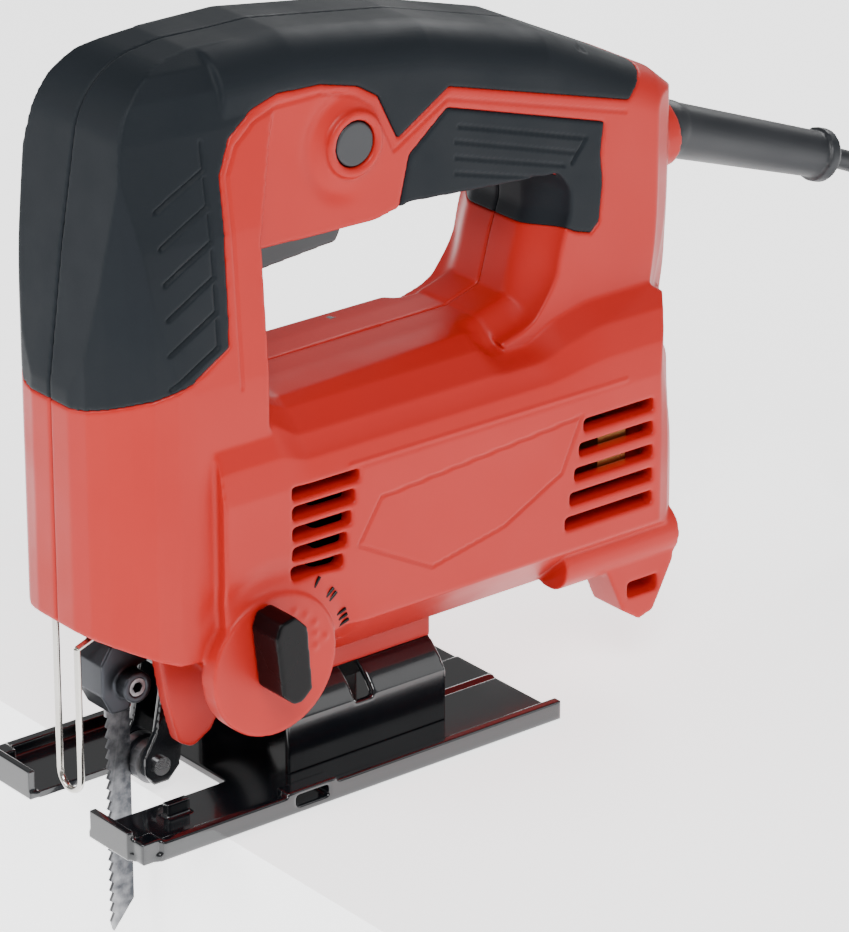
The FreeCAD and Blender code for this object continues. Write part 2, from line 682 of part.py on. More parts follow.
comm_disc = cylinder("comm_disc", "x", comm_x0, comm_len, comm_r, 0, motor_z)
comm_hole = cylinder("comm_hole", "x", comm_x0 - 1, comm_len + 2, shaft_r, 0, motor_z)
comm_cuts = [comm_hole]
for i in range(12):
    bar = doc.addObject("Part::Box", "comm_gap%d" % i)
    bind(bar, "Length", comm_len - 2)
    bind(bar, "Width", 0.5)
    bind(bar, "Height", 1.0)
    turn = 30.0 * i
    cosine, sine = math.cos(math.radians(turn)), math.sin(math.radians(turn))
    reach = comm_r - 0.8
    place(bar, comm_x0 + 2, reach * -sine - 0.25 * cosine,
          motor_z + reach * cosine - size(0.25 * sine), (1, 0, 0), turn)
    comm_cuts.append(bar)
node(cut("commutator_solid", comm_disc, comm_cuts), "commutator")

fan_hub = cylinder("fan_hub", "x", fan_x0, fan_w, 8.5, 0, motor_z)
fan_plate = cylinder("fan_plate", "x", fan_x0 + fan_w - 2, 2, fan_r, 0, motor_z)
blades = [fan_hub, fan_plate]
for i in range(9):
    turn = 40.0 * i
    blade = doc.addObject("Part::Box", "fan_blade%d" % i)
    bind(blade, "Length", fan_w - 1)
    bind(blade, "Width", 1.6)
    bind(blade, "Height", fan_r - 8.5)
    cosine, sine = math.cos(math.radians(turn)), math.sin(math.radians(turn))
    place(blade, fan_x0, size(-8.0 * sine - 0.8 * cosine),
          motor_z + size(8.0 * cosine - 0.8 * sine), (1, 0, 0), turn)
    blades.append(blade)
fan_hole = cylinder("fan_hole", "x", fan_x0 - 1, fan_w + 2, shaft_r, 0, motor_z)
node(cut("fan_solid", fuse("fan_blank", blades), [fan_hole]), "cooling_fan")


def ring_solid(name, x0, length, outer, inner):
    body = cylinder(name + "_outer", "x", x0, length, outer, 0, motor_z)
    hole = cylinder(name + "_bore", "x", size(x0) - 1, size(length) + 2, inner, 0, motor_z)
    return cut(name + "_ring", body, [hole])


front_seat_x = column_back + 3
node(ring_solid("front_bearing", front_seat_x, bearing_w, bearing_r, shaft_r + run_gap),
     "front_bearing")
rear_x = shaft_back - bearing_w - 2
node(ring_solid("rear_bearing", rear_x, bearing_w, bearing_r, shaft_r + run_gap),
     "rear_bearing")
node(ring_solid("rear_boot", rear_x, bearing_w, bearing_r + 1.5, bearing_r),
     "rear_bearing_boot")

field_ring = cylinder("field_ring", "x", core_x0, core_len, field_r, 0, motor_z)
field_bore = cylinder("field_bore", "x", core_x0 - 1, core_len + 2, armature_r, 0, motor_z)
field_slots = [field_bore]
for i, side in enumerate((1, -1)):
    field_slots.append(box("field_window%d" % i, core_x0 - 1, core_x1 + 1,
                           armature_r * side - (4 if side < 0 else 2),
                           armature_r * side + (2 if side < 0 else 4),
                           motor_z - 8, motor_z + 8))
node(cut("field_solid", field_ring, field_slots), "field_core")
coils = []
for i, x0 in enumerate((core_x0 - 9, core_x1 + 0.1)):
    coils.append(ring_solid("field_coil%d" % i, x0, 8.9, field_r - 3, armature_r + 1.5))
node(group("field_coil_pair", coils), "field_coils")
node(ring_solid("fan_baffle", fan_x0 + fan_w + 2, 2, motor_bay, armature_r + 3),
     "fan_baffle")
node(ring_solid("field_seat", core_x0 + 6, core_len - 12, motor_bay, field_r),
     "field_mount")

# ---- brushes -------------------------------------------------------------------------
brush_x = comm_x0 + comm_len / 2 + 1
brush_y = comm_r + 0.35
holders, brushes, springs = [], [], []
for i, side in enumerate((-1, 1)):
    near, far = brush_y + 2, motor_bay - 0.6
    y0, y1 = (near, far) if side > 0 else (-far, -near)
    outer = box("holder_outer%d" % i, brush_x - 5, brush_x + 5, y0, y1, motor_z - 4.5,
                motor_z + 4.5)
    inner = box("holder_inner%d" % i, brush_x - 4, brush_x + 4,
                (y0 - 1) if side > 0 else (y0 + 1.5), (y1 - 1.5) if side > 0 else (y1 + 1),
                motor_z - 3.5, motor_z + 3.5)
    holders.append(cut("holder%d" % i, outer, [inner]))
    b0, b1 = (brush_y, brush_y + 11) if side > 0 else (-brush_y - 11, -brush_y)
    brushes.append(box("brush%d" % i, brush_x - 4, brush_x + 4, b0, b1, motor_z - 3.5,
                       motor_z + 3.5))
    s0 = brush_y + 11.2 if side > 0 else -far + 1.6
    length = far - 1.6 - brush_y - 11.2
    tube = cylinder("brush_spring_outer%d" % i, "y", s0, length, 3, brush_x, motor_z)
    hollow = cylinder("brush_spring_inner%d" % i, "y", s0 - 1, length + 2, 2, brush_x,
                      motor_z)
    springs.append(cut("brush_spring%d" % i, tube, [hollow]))
node(group("holder_pair", holders), "brush_holders")
node(group("brush_pair", brushes), "carbon_brushes")
node(group("brush_spring_pair", springs), "brush_springs")

# ---- gear frame, crank gear ----------------------------------------------------------
frame_plate = box("frame_plate", column_back - 2.5, column_back + 3, -frame_half,
                  frame_half, column_low + 9.5, body_top - 11.5)
frame_boss = cylinder("frame_boss", "x", column_back + 1, 9.5, bearing_r + 3.5, 0, motor_z)
frame_post = cylinder("frame_post", "x", column_back - 3.6, 5, gear_pin_r + 3, 0, gear_z)
frame_bearing = cylinder("frame_bearing", "x", front_seat_x, bearing_w + 5, bearing_r, 0,
                         motor_z)
frame_shaft = cylinder("frame_shaft", "x", column_back - 6, 20, shaft_r + 2, 0, motor_z)
frame_pin = cylinder("frame_pin", "x", column_back - 6, 20, gear_pin_r, 0, gear_z)
frame_cuts = [frame_bearing, frame_shaft, frame_pin]
node(cut("frame_solid", fuse("frame_blank", [frame_plate, frame_boss, frame_post]),
         frame_cuts), "gear_housing")
node(cylinder("gear_stub", "x", gear_x0 + 0.4, column_back - gear_x0 + 2.6, gear_pin_r, 0,
              gear_z), "gear_pin")

wheel = toothed("wheel", gear_x0, gear_w, gear_teeth, gear_z,
                gear_module * 0.57, gear_module * 0.72, gear_module * 1.1,
                180.0 / gear_teeth)
wheel_bore = cylinder("wheel_bore", "x", gear_x0 - 1, gear_w + 2, gear_pin_r + run_gap, 0,
                      gear_z)
crank_r = stroke / 2
crank_seat = cylinder("crank_seat", "x", gear_x0 - 1, gear_w + 2, crank_pin_r, 0,
                      gear_z + crank_r)
node(cut("wheel_solid", wheel, [wheel_bore, crank_seat]), "crank_gear")
pin_front = gear_x0 - 3.2
node(cylinder("crank_pin_solid", "x", pin_front, gear_w + 3.2, crank_pin_r, 0,
              gear_z + crank_r), "crank_pin")

# ---- slider, guide, clamp and blade --------------------------------------------------
yoke_z = gear_z + crank_r
yoke_block = box("yoke_block", rod_x + 1, pin_front - 0.3, -15, 15, yoke_z - 6.5,
                 yoke_z + 6.5)
yoke_slot = box("yoke_slot", rod_x + rod_r + 2, pin_front + 1, -crank_r - crank_pin_r - 0.8,
                crank_r + crank_pin_r + 0.8, yoke_z - crank_pin_r - 0.3,
                yoke_z + crank_pin_r + 0.3)
yoke_bore = cylinder("yoke_bore", "z", yoke_z - 8, 16, rod_r, rod_x, 0)
node(cut("yoke_solid", yoke_block, [yoke_slot, yoke_bore]), "slider_yoke")
node(cylinder("rod_solid", "z", rod_low, rod_high - rod_low, rod_r, rod_x, 0),
     "slider_rod")

bush_low = column_low + 13
bush_high = gear_z + stroke + 12
bush_len = 10
bush_r = rod_r + run_gap + bush_wall
bushes, bush_cuts = [], []
for i, z0 in enumerate((bush_low, bush_high)):
    outer = cylinder("bush_outer%d" % i, "z", z0, bush_len, bush_r, rod_x, 0)
    bore = cylinder("bush_bore%d" % i, "z", z0 - 1, bush_len + 2, rod_r + run_gap, rod_x, 0)
    bushes.append(cut("bush%d" % i, outer, [bore]))
    bush_cuts.append(cylinder("bush_seat%d" % i, "z", z0, bush_len, bush_r, rod_x, 0))
node(group("bush_pair", bushes), "slider_bushes")
guide_front = rod_x - bush_r - 3
guide_parts = [box("guide_spine", guide_front, guide_front + 2.6, -9, 9, bush_low,
                   guide_pivot_z + 4)]
for i, z0 in enumerate((bush_low, bush_high)):
    guide_parts.append(box("guide_lug%d" % i, guide_front, rod_x + bush_r + 1.5, -9, 9, z0,
                           z0 + bush_len))
guide_parts.append(cylinder("guide_eye", "y", -9, 18, pivot_pin_r + 2.2, guide_pivot_x,
                            guide_pivot_z))
guide_bore = cylinder("guide_bore", "y", -10, 20, pivot_pin_r + run_gap, guide_pivot_x,
                      guide_pivot_z)
guide_rod = cylinder("guide_rod", "z", bush_low - 3, 120, rod_r + 0.4, rod_x, 0)
node(cut("guide_solid", fuse("guide_blank", guide_parts),
         [guide_bore, guide_rod] + bush_cuts), "slider_guide")
node(cylinder("guide_pin_solid", "y", -23, 46, pivot_pin_r, guide_pivot_x, guide_pivot_z),
     "guide_pivot_pin")
seal_outer = cylinder("seal_outer", "z", bush_low - 3, 3, bush_r, rod_x, 0)
seal_bore = cylinder("seal_bore", "z", bush_low - 4, 5, rod_r + 0.1, rod_x, 0)
node(cut("seal_solid", seal_outer, [seal_bore]), "rod_seal")

blade_back = blade_front + blade_w
clamp_high = clamp_low + 20
clamp_main = slab("clamp_main", [
    (blade_front - 4.5, clamp_low + 6), (blade_front - 1.5, clamp_low),
    (blade_back - 3.4, clamp_low), (blade_back - 0.6, clamp_low + 7),
    (blade_back - 0.6, clamp_low + 12),
    (rod_x + rod_r, clamp_low + 13), (rod_x + rod_r, clamp_high),
    (blade_front - 1, clamp_high), (blade_front - 4.5, clamp_high - 5)], clamp_half,
    [(1.5, [0, 1, 7, 8])])
clamp_boss = cylinder("clamp_boss", "y", -clamp_half - 4.5, 6, 4.4,
                      blade_front + 3.9, clamp_low + 8.2)
clamp_rod_bore = cylinder("clamp_rod_bore", "z", rod_low, 30, rod_r, rod_x, 0)
blade_seat = box("blade_seat", blade_front, blade_back, -blade_t / 2, blade_t / 2,
                 clamp_low - 1, clamp_high - 6)
screw_seat = cylinder("screw_seat", "y", -clamp_half - 5, clamp_half + 5 - blade_t / 2, 2.5,
                      blade_front + 3.9, clamp_low + 8.2)
node(cut("clamp_solid", fuse("clamp_blank", [clamp_main, clamp_boss]),
         [clamp_rod_bore, blade_seat, screw_seat]), "blade_clamp")
screw_shank = cylinder("clamp_screw_shank", "y", -clamp_half - 4.2,
                       clamp_half + 4.2 - blade_t / 2, 2.5, blade_front + 3.9,
                       clamp_low + 8.2)
screw_hex = doc.addObject("Part::Prism", "clamp_screw_hex")
screw_hex.Polygon = 6
bind(screw_hex, "Circumradius", 1.6)
bind(screw_hex, "Height", 3.5)
place(screw_hex, blade_front + 3.9, -clamp_half - 4.7, clamp_low + 8.2, (1, 0, 0), -90)
node(cut("clamp_screw_solid", screw_shank, [screw_hex]), "clamp_screw")

tooth_deep = 1.1
tang_top = clamp_high - 7
outline = [(blade_back, tang_top), (blade_front, tang_top), (blade_front, clamp_low - 3)]
count = 20
cutting = (clamp_low - 3 - blade_low - 3) / count
for i in range(count):
    z_top = clamp_low - 3 - cutting * i
    outline.append((blade_front + tooth_deep, z_top - cutting * 0.25))
    outline.append((blade_front, z_top - cutting))
outline += [(blade_front + 0.8, blade_low), (blade_back, blade_low + 8)]
node(slab("blade_solid", outline, blade_t / 2), "blade")

# ---- blade roller fork ---------------------------------------------------------------
roller_x = blade_back + roller_r + 0.3
cheek = [(holder_x - 4.2, holder_z - 3), (holder_x - 1, holder_z + 4.5),
         (holder_x + 6.4, holder_z + 4), (holder_x + 6.0, holder_z - 4),
         (holder_x + 1.5, holder_z - 22), (roller_x + 6.5, roller_z - 2),
         (roller_x + 3, roller_z - 5.6), (roller_x - 2, roller_z - 5.6),
         (roller_x - 4.9, roller_z - 2), (roller_x - 4.7, roller_z + 3),
         (roller_x - 1.0, roller_z + 9.5)]
fork_outer = slab("fork_outer", cheek, holder_half)
fork_slot = box("fork_slot", -90, holder_x + 0.6, -holder_half + 2.2, holder_half - 2.2,
                -5, holder_z - 5)
fork_slot2 = box("fork_slot2", -90, roller_x + roller_r + 2.2, -holder_half + 2.2,
                 holder_half - 2.2, -5, holder_z - 16)
fork_bore = cylinder("fork_bore", "y", -10, 20, pivot_pin_r + run_gap, holder_x, holder_z)
roller_seat = cylinder("roller_seat", "y", -10, 20, 1.8, roller_x, roller_z)
node(cut("fork_solid", fork_outer, [fork_slot, fork_slot2, fork_bore, roller_seat]),
     "roller_holder")
node(cylinder("fork_pin_solid", "y", -13, 26, pivot_pin_r, holder_x, holder_z),
     "holder_pivot_pin")
wheel_len = holder_half * 2 - 5
roller_body = cylinder("roller_body", "y", -wheel_len / 2, wheel_len, roller_r + 1.1,
                       roller_x, roller_z)
roller_bore = cylinder("roller_bore", "y", -10, 20, 1.8 + run_gap, roller_x, roller_z)
groove_outer = cylinder("groove_outer", "y", -blade_t / 2 - 0.6, blade_t + 1.2,
                        roller_r + 3, roller_x, roller_z)
groove_inner = cylinder("groove_inner", "y", -blade_t * 3, blade_t * 6, roller_r, roller_x,
                        roller_z)
groove = cut("groove", groove_outer, [groove_inner])
node(cut("roller_solid", roller_body, [roller_bore, groove]), "roller")
pin_shaft = cylinder("pin_shaft", "y", -holder_half - 0.2, holder_half * 2 + 0.4, 1.8,
                     roller_x, roller_z)
pin_cap = cylinder("pin_cap", "y", -holder_half - 1.2, 1.2, 2.6, roller_x, roller_z)
node(fuse("roller_pin_solid", [pin_shaft, pin_cap]), "roller_pin")

# ---- shoe and bevel bracket ----------------------------------------------------------
plate = slab("plate", [
    (shoe_front, slot_half + 0.5), (shoe_front, shoe_half - 7), (shoe_front + 2,
                                                                shoe_half - 2.5),
    (shoe_front + 7, shoe_half), (shoe_back, shoe_half), (shoe_back, -shoe_half),
    (shoe_front + 7, -shoe_half), (shoe_front + 2, -shoe_half + 2.5),
    (shoe_front, -shoe_half + 7), (shoe_front, -slot_half - 0.5),
    (shoe_front + 3, -slot_half), (slot_back, -slot_half), (slot_back, slot_half),
    (shoe_front + 3, slot_half)], plate_t / 2, role="XY_Plane")
place(plate, 0, 0, plate_t / 2)
rims = []
for i, side in enumerate((1, -1)):
    y0, y1 = (shoe_half - 3, shoe_half) if side > 0 else (-shoe_half, -shoe_half + 3)
    rims.append(box("rim%d" % i, shoe_front + 7, shoe_back, y0, y1, 0, rim_top))
    t0, t1 = ((slot_half + 1, shoe_half - 6) if side > 0
              else (-shoe_half + 6, -slot_half - 1))
    rims.append(box("tip%d" % i, shoe_front, shoe_front + 2, t0, t1, 0, rim_top + 2.5))
    c0, c1 = (shoe_half - 6.4, shoe_half - 1.2) if side > 0 else (-shoe_half + 1.2,
                                                                  -shoe_half + 6.4)
    rims.append(box("corner%d" % i, shoe_front + 1.2, shoe_front + 7.5, c0, c1, 0,
                    rim_top + 0.6))
    b0, b1 = (shoe_half - 5.5, shoe_half) if side > 0 else (-shoe_half, -shoe_half + 5.5)
    rims.append(box("bridge%d" % i, shoe_front + 48, shoe_front + 64, b0, b1, 0,
                    rim_top + 1))
    l0, l1 = -slot_half - 8.5, -slot_half - 6
    if side < 0:
        rims.append(box("lug%d" % i, shoe_front + 20, shoe_front + 27, l0, l1, 0, 6))
inner_keep = box("fence_keep", shoe_front + 50.5, shoe_front + 61.5, -60, 60, plate_t,
                 plate_t + 3.2)
ridge = box("ridge", barrel_x0 + barrel_len + 6, shoe_back, -8, 8, plate_t - 0.5,
            plate_t + 0.8)
key_way = box("key_way", bolt_x - 3.4, bolt_x + 3.4, -15, 15, -1, plate_t + 1)
node(cut("shoe_solid", fuse("shoe_blank", [plate, ridge] + rims), [inner_keep, key_way]),
     "shoe")

barrel_full = cylinder("barrel_full", "x", barrel_x0, barrel_len, barrel_r, 0, barrel_z)
barrel_keep = box("barrel_keep", barrel_x0 - 1, barrel_x0 + barrel_len + 1,
                  -barrel_r + 3.2, barrel_r - 3.2, plate_t, barrel_z + barrel_r + 1)
barrel_round = cylinder("barrel_round", "x", barrel_x0 - 1, barrel_len + 2, barrel_r - 2.5,
                        0, barrel_z)
barrel_inside = box("barrel_inside", barrel_x0 - 1, barrel_x0 + barrel_len + 1,
                    -barrel_r + 4.7, barrel_r - 4.7, -20, barrel_z + barrel_r)
barrel_hollow = common("barrel_hollow", barrel_round, barrel_inside)
hollow_low = box("hollow_low", barrel_x0 - 1, barrel_x0 + barrel_len + 1, -barrel_r + 4.7,
                 barrel_r - 4.7, -1, barrel_z + 8)
barrel_slot = box("barrel_slot", bolt_x - bolt_r - 0.7, bolt_x + bolt_r + 0.7, -30, 30,
                  barrel_z + 11, 60)
node(cut("barrel_solid", common("barrel_blank", barrel_full, barrel_keep),
         [barrel_hollow, hollow_low, barrel_slot]), "bevel_bracket")
pad_disc = cylinder("pad_disc", "x", bolt_x - 12, 24, barrel_r - 2.9, 0, barrel_z)
pad_keep = box("pad_keep", bolt_x - 13, bolt_x + 13, -6.5, 6.5, barrel_z + 11.5, 60)
pad_bore = cylinder("pad_bore", "z", 0, 60, bolt_r, bolt_x, 0)
node(cut("pad_solid", common("pad_blank", pad_disc, pad_keep), [pad_bore]),
     "base_clamp_plate")
bolt_shank = cylinder("bolt_shank", "z", barrel_z + 8, body_low + 6 - barrel_z, bolt_r,
                      bolt_x, 0)
bolt_head = cylinder("bolt_head", "z", barrel_z + 6.3, 5.2, bolt_r + 2, bolt_x, 0)
bolt_hex = doc.addObject("Part::Prism", "bolt_hex")
bolt_hex.Polygon = 6
bind(bolt_hex, "Circumradius", 2.3)
bind(bolt_hex, "Height", 3.5)
place(bolt_hex, bolt_x, 0, barrel_z + 6)
node(cut("bolt_solid", fuse("bolt_blank", [bolt_shank, bolt_head]), [bolt_hex]),
     "base_clamp_bolt")

# ---- controls ------------------------------------------------------------------------
trigger_body = slab("trigger_body", [
    (column_back + 2.5, handle_under - 10), (column_back + 3, handle_under - 13.5),
    (button_x + 5.5, handle_under - 10.5), (button_x + 7, handle_under - 8),
    (button_x + 7.5, handle_under + 1), (trigger_x + 3, handle_under + 3),
    (trigger_x + 3.6, trigger_z + 2.4), (trigger_x - 3.4, trigger_z + 2.4),
    (column_back + 2, handle_under)], trigger_half)
trigger_bore = cylinder("trigger_bore", "y", -12, 24, 1.8 + run_gap, trigger_x, trigger_z)
trigger_notch = cylinder("trigger_notch", "y", -2.6, 5.2, 5.0, trigger_x, trigger_z)
node(cut("trigger_solid", trigger_body, [trigger_bore, trigger_notch]), "trigger")
node(cylinder("trigger_pin_solid", "y", -12, 24, 1.8, trigger_x, trigger_z), "trigger_pin")
spring_outer = cylinder("spring_outer", "y", -2.3, 4.6, 3.6, trigger_x, trigger_z)
spring_bore = cylinder("spring_bore", "y", -3, 6, 2.2, trigger_x, trigger_z)
node(cut("spring_solid", spring_outer, [spring_bore]), "trigger_spring")
switch_block = box("switch_block", column_back + 17, button_x + 32, -8, 8,
                   handle_under + 9, handle_top - 26)
switch_hole = cylinder("switch_hole", "y", -12, 8, 3.6, button_x, button_z)
switch_plunger = box("switch_plunger", button_x - 5, button_x + 1, -2, 2,
                     handle_under + 7.6, handle_under + 10)
node(cut("switch_solid", fuse("switch_blank", [switch_block, switch_plunger]),
         [switch_hole]), "switch_unit")
button_head = cylinder("button_head", "y", -grip_half - 1.1, 7, button_r, button_x,
                       button_z)
button_stem = cylinder("button_stem", "y", -grip_half + 5, 9.5, 2.6, button_x, button_z)
node(fuse("button_solid", [button_head, button_stem]), "lock_button")
spring2_outer = cylinder("spring2_outer", "y", -8 - 3.4, 3.3, 4.8, button_x, button_z)
spring2_bore = cylinder("spring2_bore", "y", -13, 6, 3.7, button_x, button_z)
node(cut("spring2_solid", spring2_outer, [spring2_bore]), "button_spring")

paddle_y = -body_half - 13
paddle = slab("paddle", [
    (knob_x - 3, knob_z - 6), (knob_x - 0.5, knob_z - 6), (knob_x + 3, knob_z - 3),
    (knob_x + 1.5, knob_z + 15), (knob_x - 2.5, knob_z + 19), (knob_x - 7, knob_z + 18),
    (knob_x - 8.5, knob_z + 14), (knob_x - 6.5, knob_z - 3)], 5.7)
place(paddle, 0, paddle_y + 5.7, 0)
knob_shaft_seat = cylinder("knob_shaft_seat", "y", paddle_y + 6, 12, 3.5, knob_x, knob_z)
node(cut("knob_solid", paddle, [knob_shaft_seat]), "orbit_lever")
shaft_solid = cylinder("orbit_rod", "y", paddle_y + 6, -paddle_y - 6 - holder_half - 1.6,
                       3.5, knob_x, knob_z)
cam_solid = cylinder("orbit_cam", "y", -holder_half - 2, holder_half + 6, 3.5, knob_x,
                     knob_z)
cam_flat = box("orbit_flat", knob_x - 5, knob_x - 0.8, -holder_half - 0.9, 10, knob_z - 6,
               knob_z + 6)
node(fuse("orbit_shaft_solid", [shaft_solid, cut("cam_cut", cam_solid, [cam_flat])]),
     "orbit_shaft")

# ---- chip guard wire -----------------------------------------------------------------
wire_x = front_x + 3
wire_path = [V(wire_x.value, 4.8, (column_low + 12).value), V(wire_x.value, 4.8, 12.3),
             V(wire_x.value, -4.8, 12.3), V(wire_x.value, -4.8, (column_low + 1).value),
             V((wire_x + 7).value, -4.8, (column_low + 3.5).value),
             V((wire_x + 7).value, -4.8, (column_low + 8).value)]
down = Part.makeLine(wire_path[0], wire_path[1])
bend = Part.Arc(wire_path[1], V(wire_x.value, 0, 7.5), wire_path[2]).toShape()
up = Part.makeLine(wire_path[2], wire_path[3])
knee = Part.makeLine(wire_path[3], wire_path[4])
riser = Part.makeLine(wire_path[4], wire_path[5])
profile = Part.Wire(Part.makeCircle(0.95, wire_path[0], V(0, 0, 1)))
guard = Part.Wire([down, bend, up, knee, riser]).makePipeShell([profile], True, False, 2)
wire = doc.addObject("Part::Feature", "guard_wire_solid")
wire.Shape = guard
node(wire, "guard_wire")

# ---- cord guard, strain clamp and cord -----------------------------------------------
guard_z = handle_under - 8
guard_x0 = body_back - 9.5
guard_tilt = 19.5
guard_len = dim("guard_length", 65.0)


def tilted(obj):
    """Hang a primitive on the guard axis, which droops from the housing."""
    return place(obj, body_back + 1, 0, guard_z, (0, 1, 0), 90 + guard_tilt)


def guard_piece(name, start, length, radius0, radius1):
    obj = doc.addObject("Part::Cone", name)
    bind(obj, "Radius1", radius0)
    bind(obj, "Radius2", radius1)
    bind(obj, "Height", length)
    tilted(obj)
    drop = size(start)
    bind(obj, "Placement.Base.x", body_back + 1 + drop * math.cos(math.radians(guard_tilt)))
    bind(obj, "Placement.Base.z", guard_z - drop * math.sin(math.radians(guard_tilt)))
    return obj


guard_cone = guard_piece("guard_cone", 0, guard_len, 7.9, 6.6)
guard_flange = guard_piece("guard_flange", guard_len - 5, 3.5, 7.8, 7.81)
guard_joint = doc.addObject("Part::Sphere", "guard_joint")
bind(guard_joint, "Radius", 8.2)
place(guard_joint, body_back + 1, 0, guard_z)
root_tube = cylinder("root_tube", "x", guard_x0, 10.5, 7.9, 0, guard_z)
root_collar = cylinder("root_collar", "x", guard_x0, 3, 8.2, 0, guard_z)
root_bore = cylinder("root_bore", "x", guard_x0 - 1, 11.6, cord_r, 0, guard_z)
bore_joint = doc.addObject("Part::Sphere", "bore_joint")
bind(bore_joint, "Radius", cord_r + 0.06)
place(bore_joint, body_back + 1, 0, guard_z)
bore_run = guard_piece("bore_run", 0, guard_len + 5, cord_r, cord_r + 0.001)
node(cut("guard_solid", fuse("guard_blank", [guard_cone, guard_flange, guard_joint,
                                             root_tube, root_collar]),
         [root_bore, bore_joint, bore_run]), "cord_guard")
clamp_x0 = guard_x0 - 8
strap = box("strap_block", clamp_x0, clamp_x0 + 6.5, -8.5, 8.5, guard_z - 5.5, guard_z + 5.5)
strap_bore = cylinder("strap_bore", "x", clamp_x0 - 1, 9, cord_r, 0, guard_z)
node(cut("strap_solid", strap, [strap_bore]), "cord_clamp")


def tube(name, route, radius, report=False):
    """Round tube along straight runs joined by arcs as large as the runs allow."""
    edges = []
    start = route[0]
    for i in range(1, len(route) - 1):
        before, here, after = route[i - 1], route[i], route[i + 1]
        into, out = here - before, after - here
        turn = into.getAngle(out)
        shorter = min(into.Length, out.Length)
        trim = 0.45 * shorter
        if report:
            print("%s point %d radius %.1f" % (name, i, trim / math.tan(turn / 2)))
        first = here - into.normalize() * trim
        last = here + out.normalize() * trim
        inward = (first + last) * 0.5 - here
        arc_r = trim / math.tan(turn / 2)
        middle = here + inward.normalize() * (arc_r / math.cos(turn / 2) - arc_r)
        edges.append(Part.makeLine(start, first))
        edges.append(Part.Arc(first, middle, last).toShape())
        start = last
    edges.append(Part.makeLine(start, route[-1]))
    path = Part.Wire(edges)
    ring = Part.Wire(Part.makeCircle(radius, route[0], route[1] - route[0]))
    shape = path.makePipeShell([ring], True, True)
    if report:
        print("%s length %.1f volume %.1f expected %.1f" % (
            name, path.Length, shape.Volume, math.pi * radius ** 2 * path.Length))
    solid = doc.addObject("Part::Feature", name)
    solid.Shape = shape
    return solid


run_in = cylinder("cord_run_in", "x", clamp_x0 - 4, body_back + 1 - clamp_x0 + 4, cord_r, 0,
                  guard_z)
run_joint = doc.addObject("Part::Sphere", "cord_run_joint")
bind(run_joint, "Radius", cord_r)
place(run_joint, body_back + 1, 0, guard_z)
run_out = guard_piece("cord_run_out", 0, guard_len, cord_r, cord_r + 0.001)
node(fuse("cord_inner_solid", [run_in, run_joint, run_out]), "cord_inner")

exit_x = (body_back + 1 + guard_len * math.cos(math.radians(guard_tilt))).value
exit_z = (guard_z - guard_len * math.sin(math.radians(guard_tilt))).value
cord_route = [V(exit_x, 0, exit_z), V(209.2, 0, 118.6), V(222.0, 0, 103.3),
              V(225.8, 0, 81.6), V(218.4, 0, 58.8), V(214.6, 0, 36.0),
              V(221.8, 0, 17.4), V(237.0, 0, 6.2), V(256.0, 0, 3.0)]
coil_x, coil_y, coil_mid = 276.0, -39.0, 33.0
node(tube("cord_tube", cord_route, cord_r.value, True), "cord")
coil_outer = cylinder("coil_outer", "z", 0, cord_r * 6, coil_mid + cord_r * 3, coil_x,
                      coil_y)
coil_inner = cylinder("coil_inner", "z", -1, cord_r * 8, coil_mid - cord_r * 3, coil_x,
                      coil_y)
node(cut("coil_solid", coil_outer, [coil_inner]), "cord_coil")

plug_y = coil_y + coil_mid
plug_x = coil_x - 14
plug_z = cord_r * 6 + 7.5
plug_relief = cone("plug_relief", "x", plug_x, 16, 4.2, 6.0, plug_y, plug_z)
plug_block = box("plug_block", plug_x + 14, plug_x + 40, plug_y - 13, plug_y + 13,
                 cord_r * 6, cord_r * 6 + 15)
node(fuse("plug_solid", [plug_relief, plug_block]), "plug")
pins = []
for i, side in enumerate((-1, 1)):
    pins.append(cylinder("plug_pin%d" % i, "x", plug_x + 40, 19, 2.0, plug_y + 9.5 * side,
                         plug_z))
node(group("pin_pair", pins), "plug_pins")

supply_path = [(105.8, 147), (92, 150), (82, 164), (66, 171), (34.2, 172)]
motor_path = [(34.2, 167), (70, 167.5), (84, 155), (88, 130), (86, 104), (86, 92)]
wires = []
for label, path, offset in (("supply", supply_path, 1.5), ("motor", motor_path, 4.5)):
    for side in (-1, 1):
        route = [V(x, offset * side, z) for x, z in path]
        wires.append(tube("%s_wire_%s" % (label, "left" if side < 0 else "right"), route,
                          1.1))
node(group("lead_wires", wires), "inner_leads")

# ---- recompute, check and write ------------------------------------------------------
doc.recompute()
for obj in doc.Objects:
    if "Invalid" in obj.State or "Error" in obj.State:
        raise RuntimeError("%s is in state %s" % (obj.Name, obj.State))
for label, obj in EXPORTS:
    if obj.Shape.isNull() or not obj.Shape.isValid() or not obj.Shape.Solids:
        raise RuntimeError("%s has no valid solid" % label)
    obj.Shape.exportStep("parts/%s.step" % label)
    print("%-20s solids %2d  volume %9.1f" % (label, len(obj.Shape.Solids),
                                              obj.Shape.Volume))
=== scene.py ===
import json
import math

import bmesh
import bpy
import numpy as np
from mathutils import Matrix, Vector


